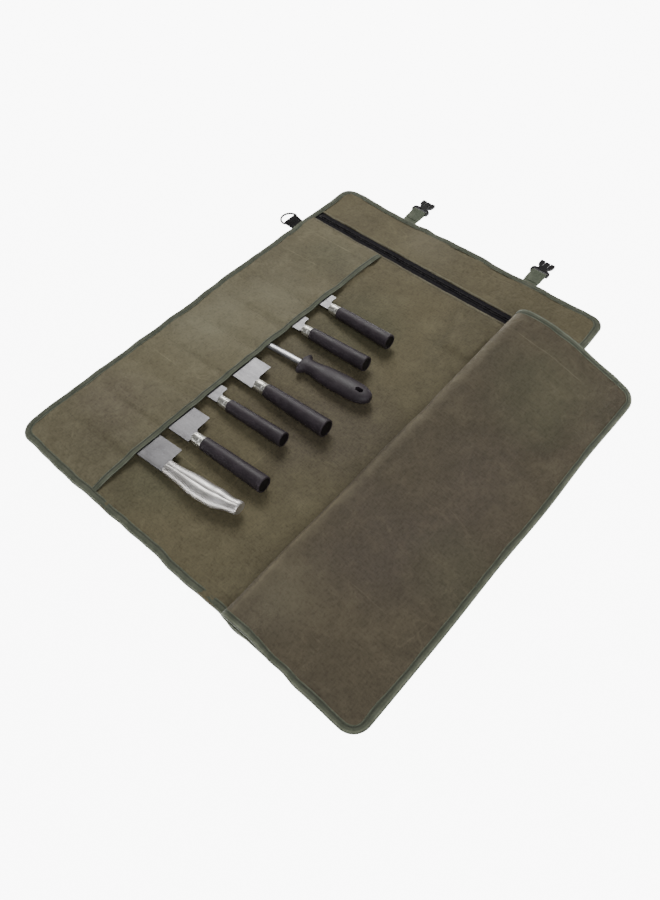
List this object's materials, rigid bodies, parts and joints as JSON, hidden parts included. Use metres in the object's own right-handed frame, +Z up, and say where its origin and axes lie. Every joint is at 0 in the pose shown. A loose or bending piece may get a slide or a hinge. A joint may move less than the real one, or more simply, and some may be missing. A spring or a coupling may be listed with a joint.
{
  "type": "knife roll",
  "caption": "Waxed-canvas roll laid open, with knives and a sharpening steel in its slots, a zip pocket, a cover flap folded back, D-rings and side-release straps.",
  "frame": {"origin": "middle of the open base, at the surface it rests on", "axes": "+X the short way, the way the tools slide out, towards the flap; +Y the long way, towards the buckles; +Z up"},
  "size_m": [0.6111, 0.7107, 0.0486],
  "materials": {
    "canvas": "waxed cotton canvas, mottled olive brown",
    "canvas_lining": "waxed cotton canvas lining",
    "binding_tape": "grey-green woven binding tape",
    "webbing_green": "grey-green woven webbing",
    "webbing_black": "black woven webbing",
    "zip_tape": "black zip tape",
    "zip_coil": "black nylon coil",
    "zip_metal": "black enamelled zinc",
    "ring_metal": "black coated steel wire",
    "buckle_plastic": "black moulded acetal",
    "blade_steel": "satin-ground stainless steel",
    "handle_steel": "satin stainless steel",
    "handle_plastic": "black moulded polymer, fine matte grain",
    "cap_plastic": "black moulded polymer cap"
  },
  "bodies": {
    "base": {"outer_shell": "canvas", "inner_lining": "canvas_lining", "zip_facing": "canvas_lining", "edge_binding": "binding_tape", "pocket_panel": "canvas", "pocket_seams": "binding_tape", "pocket_binding": "binding_tape", "zip_tape_front": "zip_tape", "zip_tape_rear": "zip_tape", "zip_coil_front": "zip_coil", "zip_coil_rear": "zip_coil", "zip_stops": "zip_metal", "flap_root_panel": "canvas", "ring_tab_left": "webbing_black", "ring_tab_right": "webbing_black", "outer_strap_left": "webbing_green", "outer_strap_right": "webbing_green"},
    "flap_fold": {"flap_fold_panel": "canvas"},
    "flap_mid": {"flap_mid_panel": "canvas", "flap_mid_binding": "binding_tape"},
    "flap_tip": {"flap_tip_panel": "canvas", "flap_tip_binding": "binding_tape"},
    "zip_slider_body": {"zip_slider": "zip_metal"},
    "zip_pull_body": {"zip_pull": "zip_metal"},
    "ring_left": {"d_ring_left": "ring_metal"},
    "ring_right": {"d_ring_right": "ring_metal"},
    "strap_left": {"strap_end_left": "webbing_green"},
    "plug_left": {"buckle_plug_left": "buckle_plastic"},
    "socket_left": {"buckle_socket_left": "buckle_plastic"},
    "strap_right": {"strap_end_right": "webbing_green"},
    "plug_right": {"buckle_plug_right": "buckle_plastic"},
    "socket_right": {"buckle_socket_right": "buckle_plastic"},
    "knife_a": {"knife_a_blade": "blade_steel", "knife_a_handle": "handle_steel"},
    "knife_b": {"knife_b_blade": "blade_steel", "knife_b_ferrule": "blade_steel", "knife_b_handle": "handle_plastic", "knife_b_end_cap": "cap_plastic"},
    "knife_c": {"knife_c_blade": "blade_steel", "knife_c_ferrule": "blade_steel", "knife_c_handle": "handle_plastic", "knife_c_end_cap": "cap_plastic"},
    "knife_d": {"knife_d_blade": "blade_steel", "knife_d_ferrule": "blade_steel", "knife_d_handle": "handle_plastic", "knife_d_end_cap": "cap_plastic"},
    "knife_f": {"knife_f_blade": "blade_steel", "knife_f_ferrule": "blade_steel", "knife_f_handle": "handle_plastic", "knife_f_end_cap": "cap_plastic"},
    "knife_g": {"knife_g_blade": "blade_steel", "knife_g_ferrule": "blade_steel", "knife_g_handle": "handle_plastic", "knife_g_end_cap": "cap_plastic"},
    "sharpening_steel": {"steel_rod": "blade_steel", "steel_guard": "handle_plastic", "steel_handle": "handle_plastic"}
  },
  "joints": [
    {"name": "flap_fold_hinge", "type": "hinge", "parent": "base", "child": "flap_fold", "pos_m": [0.1463, -0.047, 0.006], "axis": [0, 1, 0], "range_deg": [-68, 0]},
    {"name": "flap_mid_hinge", "type": "hinge", "parent": "flap_fold", "child": "flap_mid", "pos_m": [0.1585, -0.329, 0.0208], "axis": [0, 0.9989, 0.0462], "range_deg": [-115.5, 0]},
    {"name": "flap_tip_hinge", "type": "hinge", "parent": "flap_mid", "child": "flap_tip", "pos_m": [0.2255, -0.329, 0.00765], "axis": [0, 0.9985, 0.0543], "range_deg": [-7.5, 0]},
    {"name": "zip_slide", "type": "slide", "parent": "base", "child": "zip_slider_body", "axis": [-1, 0, 0], "range_m": [0, 0.418]},
    {"name": "zip_pull_hinge", "type": "hinge", "parent": "zip_slider_body", "child": "zip_pull_body", "pos_m": [0.214, 0.2425, 0.008], "axis": [0, 1, 0], "range_deg": [0, 150]},
    {"name": "ring_left_hinge", "type": "hinge", "parent": "base", "child": "ring_left", "pos_m": [-0.2565, 0.2065, 0.003], "axis": [0, 1, 0], "range_deg": [0, 110]},
    {"name": "ring_right_hinge", "type": "hinge", "parent": "base", "child": "ring_right", "pos_m": [0.2565, 0.2065, 0.003], "axis": [0, -1, 0], "range_deg": [0, 110]},
    {"name": "strap_left_bend", "type": "hinge", "parent": "base", "child": "strap_left", "pos_m": [-0.11, 0.3301, 0.0009], "axis": [1, 0, 0], "range_deg": [0, 80]},
    {"name": "plug_left_pivot", "type": "hinge", "parent": "strap_left", "child": "plug_left", "pos_m": [-0.11, 0.3565, 0.0029], "axis": [1, 0, 0], "range_deg": [0, 60]},
    {"name": "socket_left_pivot", "type": "hinge", "parent": "base", "child": "socket_left", "pos_m": [-0.11, 0.1895, 0.0028], "axis": [1, 0, 0], "range_deg": [0, 75]},
    {"name": "strap_right_bend", "type": "hinge", "parent": "base", "child": "strap_right", "pos_m": [0.113, 0.3301, 0.0009], "axis": [1, 0, 0], "range_deg": [0, 80]},
    {"name": "plug_right_pivot", "type": "hinge", "parent": "strap_right", "child": "plug_right", "pos_m": [0.113, 0.3565, 0.0029], "axis": [1, 0, 0], "range_deg": [0, 60]},
    {"name": "socket_right_pivot", "type": "hinge", "parent": "base", "child": "socket_right", "pos_m": [0.113, 0.1895, 0.0028], "axis": [1, 0, 0], "range_deg": [0, 75]},
    {"name": "knife_a_slide", "type": "slide", "parent": "base", "child": "knife_a", "axis": [0.9976, 0.0523, 0.045], "range_m": [0, 0.05]},
    {"name": "knife_b_slide", "type": "slide", "parent": "base", "child": "knife_b", "axis": [0.9982, 0.0383, 0.0468], "range_m": [0, 0.05]},
    {"name": "knife_c_slide", "type": "slide", "parent": "base", "child": "knife_c", "axis": [0.9975, 0.0418, 0.0566], "range_m": [0, 0.05]},
    {"name": "knife_d_slide", "type": "slide", "parent": "base", "child": "knife_d", "axis": [0.9987, 0.0174, 0.0488], "range_m": [0, 0.05]},
    {"name": "knife_f_slide", "type": "slide", "parent": "base", "child": "knife_f", "axis": [0.9979, 0.0209, 0.0605], "range_m": [0, 0.05]},
    {"name": "knife_g_slide", "type": "slide", "parent": "base", "child": "knife_g", "axis": [0.9974, -0.0279, 0.0662], "range_m": [0, 0.05]},
    {"name": "steel_slide", "type": "slide", "parent": "base", "child": "sharpening_steel", "axis": [0.9966, 0.0732, 0.0382], "range_m": [0, 0.05]}
  ],
  "couplings": [
    {"joint": "flap_mid_hinge", "follows": "flap_fold_hinge", "ratio": 1.6912},
    {"joint": "flap_tip_hinge", "follows": "flap_fold_hinge", "ratio": 0.10294}
  ]
}
